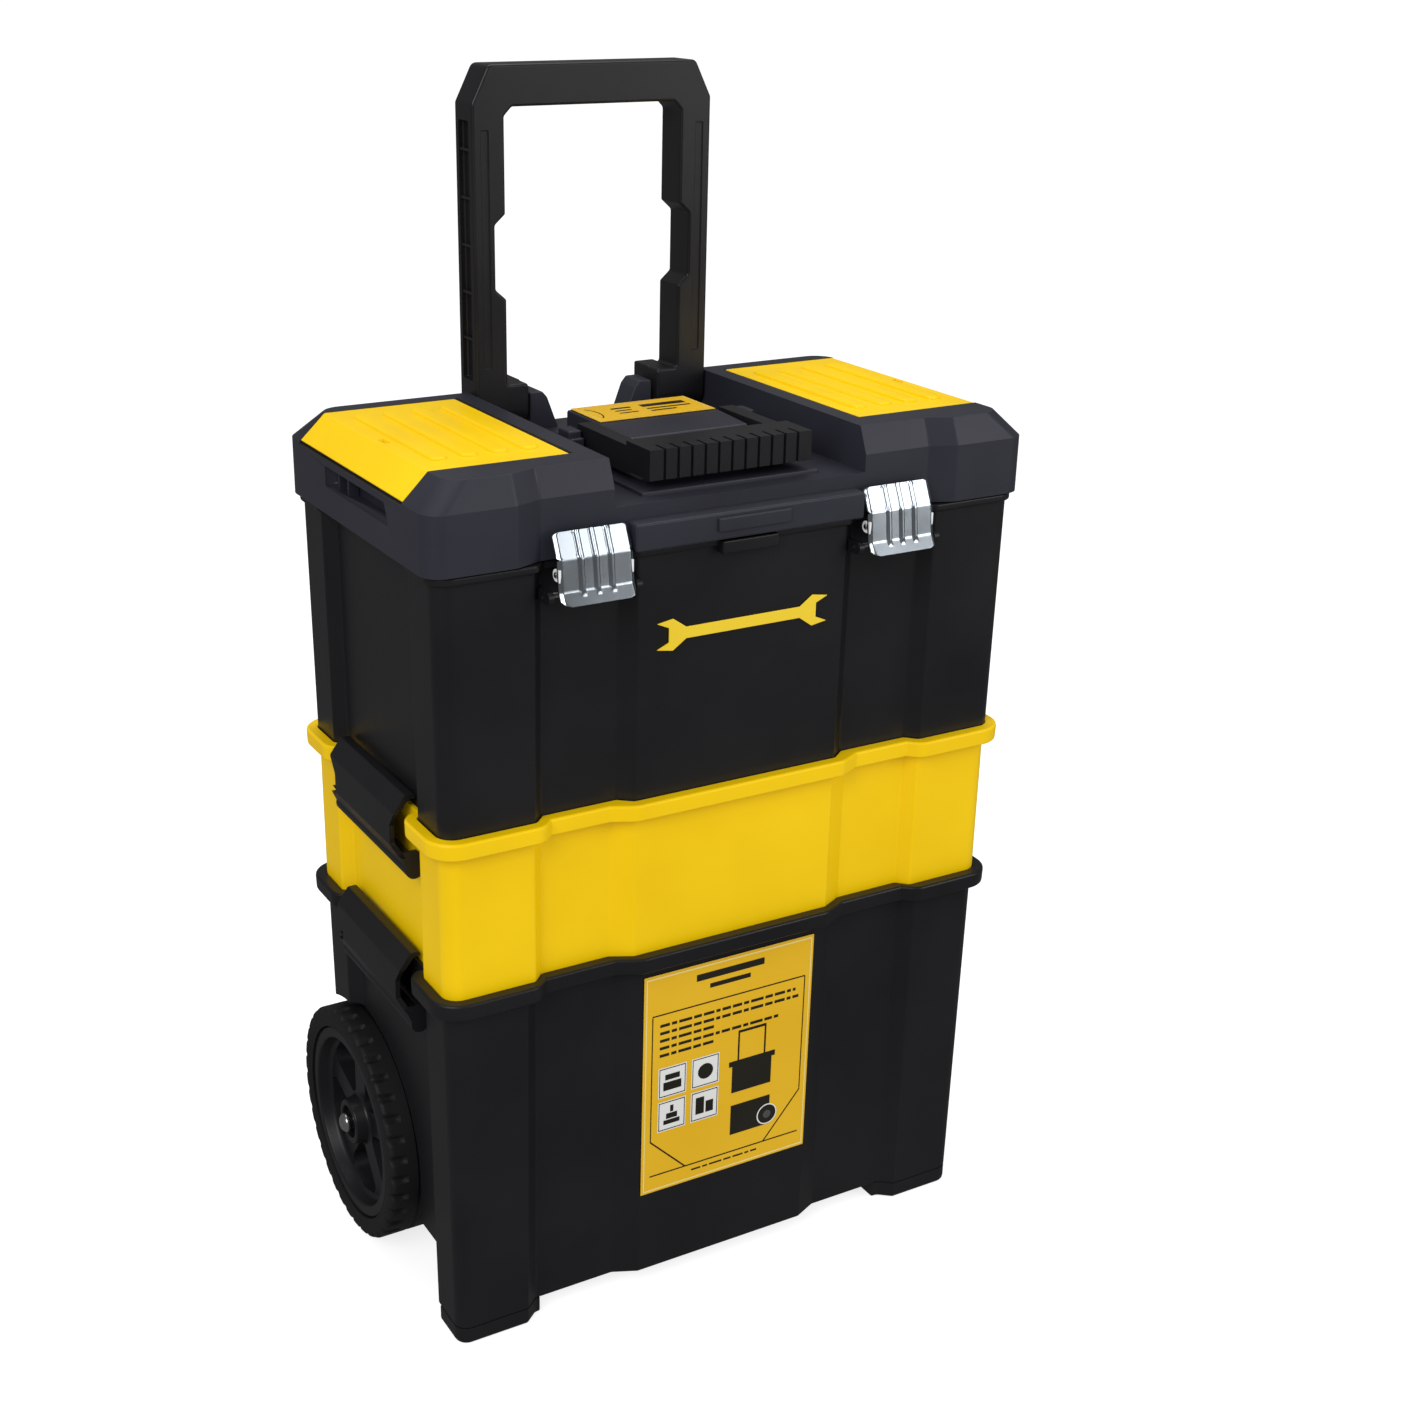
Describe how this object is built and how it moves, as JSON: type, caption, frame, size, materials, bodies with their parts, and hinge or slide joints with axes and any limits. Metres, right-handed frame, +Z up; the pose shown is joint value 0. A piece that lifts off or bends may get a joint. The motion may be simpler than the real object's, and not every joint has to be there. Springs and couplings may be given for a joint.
{
  "type": "rolling tool box",
  "caption": "Rolling tool box: wheeled bin, open tote tray and lidded tool box stacked and clipped, with flip-up organizers, carry handle and folding pull handle.",
  "frame": {"origin": "middle of the whole object's bounding box, on the ground", "axes": "+Z up, front with the latches towards -Y, +X to the right seen from the front"},
  "size_m": [0.464, 0.2898, 0.851],
  "materials": {
    "black_plastic": "moulded, fine grain, satin",
    "charcoal_plastic": "moulded, fine grain, satin",
    "yellow_plastic": "moulded, smooth, satin gloss",
    "yellow_print": "printed, flat",
    "label": "printed paper sticker, coated",
    "tread": "matt, moulded blocks",
    "zinc_sheet": "zinc plated, pressed",
    "steel": "bright drawn"
  },
  "bodies": {
    "lower_bin": {"lower_bin": "black_plastic", "axle": "steel", "axle_cap_left": "steel", "axle_cap_right": "steel", "bin_label": "label"},
    "wheel_left": {"wheel_left": "black_plastic", "tyre_left": "tread"},
    "wheel_right": {"wheel_right": "black_plastic", "tyre_right": "tread"},
    "clip_lower_left": {"clip_lower_left": "black_plastic"},
    "clip_lower_right": {"clip_lower_right": "black_plastic"},
    "tote_tray": {"tote_tray": "yellow_plastic"},
    "clip_upper_left": {"clip_upper_left": "black_plastic"},
    "clip_upper_right": {"clip_upper_right": "black_plastic"},
    "tool_box": {"tool_box_body": "black_plastic", "front_emblem": "yellow_print", "lid_hinge_pin_left": "steel", "lid_hinge_pin_right": "steel", "latch_lower_pin_left": "steel", "latch_lower_pin_right": "steel"},
    "inner_tray": {"inner_tray": "black_plastic"},
    "latch_link_left": {"latch_link_left": "zinc_sheet", "latch_upper_pin_left": "steel"},
    "latch_plate_left": {"latch_plate_left": "zinc_sheet"},
    "latch_link_right": {"latch_link_right": "zinc_sheet", "latch_upper_pin_right": "steel"},
    "latch_plate_right": {"latch_plate_right": "zinc_sheet"},
    "lid": {"lid": "charcoal_plastic", "lid_label": "label", "pull_handle_pin_left": "steel", "pull_handle_pin_right": "steel"},
    "organizer_left": {"organizer_left": "yellow_plastic"},
    "organizer_right": {"organizer_right": "yellow_plastic"},
    "carry_handle": {"carry_handle": "black_plastic"},
    "pull_handle": {"pull_handle": "black_plastic"}
  },
  "joints": [
    {"name": "wheel_left_spin", "type": "hinge", "parent": "lower_bin", "child": "wheel_left", "pos_m": [-0.2045, 0.05535, 0.0895], "axis": [1, 0, 0], "continuous": true},
    {"name": "wheel_right_spin", "type": "hinge", "parent": "lower_bin", "child": "wheel_right", "pos_m": [0.2045, 0.05535, 0.0895], "axis": [1, 0, 0], "continuous": true},
    {"name": "clip_lower_left_swing", "type": "hinge", "parent": "lower_bin", "child": "clip_lower_left", "pos_m": [-0.217, -0.00965, 0.2395], "axis": [0, -1, 0], "range_deg": [0, 60]},
    {"name": "clip_lower_right_swing", "type": "hinge", "parent": "lower_bin", "child": "clip_lower_right", "pos_m": [0.217, -0.00965, 0.2395], "axis": [0, 1, 0], "range_deg": [0, 60]},
    {"name": "tray_lift", "type": "slide", "parent": "lower_bin", "child": "tote_tray", "axis": [0, 0, 1], "range_m": [0, 0.15]},
    {"name": "clip_upper_left_swing", "type": "hinge", "parent": "tote_tray", "child": "clip_upper_left", "pos_m": [-0.217, -0.00965, 0.356], "axis": [0, -1, 0], "range_deg": [0, 60]},
    {"name": "clip_upper_right_swing", "type": "hinge", "parent": "tote_tray", "child": "clip_upper_right", "pos_m": [0.217, -0.00965, 0.356], "axis": [0, 1, 0], "range_deg": [0, 60]},
    {"name": "tool_box_lift", "type": "slide", "parent": "tote_tray", "child": "tool_box", "axis": [0, 0, 1], "range_m": [0, 0.2]},
    {"name": "inner_tray_lift", "type": "slide", "parent": "tool_box", "child": "inner_tray", "axis": [0, 0, 1], "range_m": [0, 0.018]},
    {"name": "latch_left_link", "type": "hinge", "parent": "tool_box", "child": "latch_link_left", "pos_m": [-0.116, -0.12965, 0.552], "axis": [1, 0, 0], "range_deg": [0, 110]},
    {"name": "latch_left_plate", "type": "hinge", "parent": "latch_link_left", "child": "latch_plate_left", "pos_m": [-0.116, -0.13315, 0.566], "axis": [1, 0, 0], "range_deg": [-44, 0]},
    {"name": "latch_right_link", "type": "hinge", "parent": "tool_box", "child": "latch_link_right", "pos_m": [0.116, -0.12965, 0.552], "axis": [1, 0, 0], "range_deg": [0, 110]},
    {"name": "latch_right_plate", "type": "hinge", "parent": "latch_link_right", "child": "latch_plate_right", "pos_m": [0.116, -0.13315, 0.566], "axis": [1, 0, 0], "range_deg": [-44, 0]},
    {"name": "lid_hinge", "type": "hinge", "parent": "tool_box", "child": "lid", "pos_m": [0, 0.11235, 0.571], "axis": [-1, 0, 0], "range_deg": [0, 95]},
    {"name": "organizer_left_flip", "type": "hinge", "parent": "lid", "child": "organizer_left", "pos_m": [-0.1127, -0.00965, 0.6266], "axis": [0, 1, 0], "range_deg": [0, 100]},
    {"name": "organizer_right_flip", "type": "hinge", "parent": "lid", "child": "organizer_right", "pos_m": [0.1127, -0.00965, 0.6266], "axis": [0, -1, 0], "range_deg": [0, 100]},
    {"name": "carry_handle_swing", "type": "hinge", "parent": "lid", "child": "carry_handle", "pos_m": [0, -0.00965, 0.6145], "axis": [-1, 0, 0], "range_deg": [0, 90]},
    {"name": "pull_handle_fold", "type": "hinge", "parent": "lid", "child": "pull_handle", "pos_m": [0, 0.09735, 0.617], "axis": [1, 0, 0], "range_deg": [0, 90]}
  ],
  "couplings": [
    {"joint": "latch_left_plate", "follows": "latch_left_link", "ratio": -0.4},
    {"joint": "latch_right_plate", "follows": "latch_right_link", "ratio": -0.4}
  ]
}
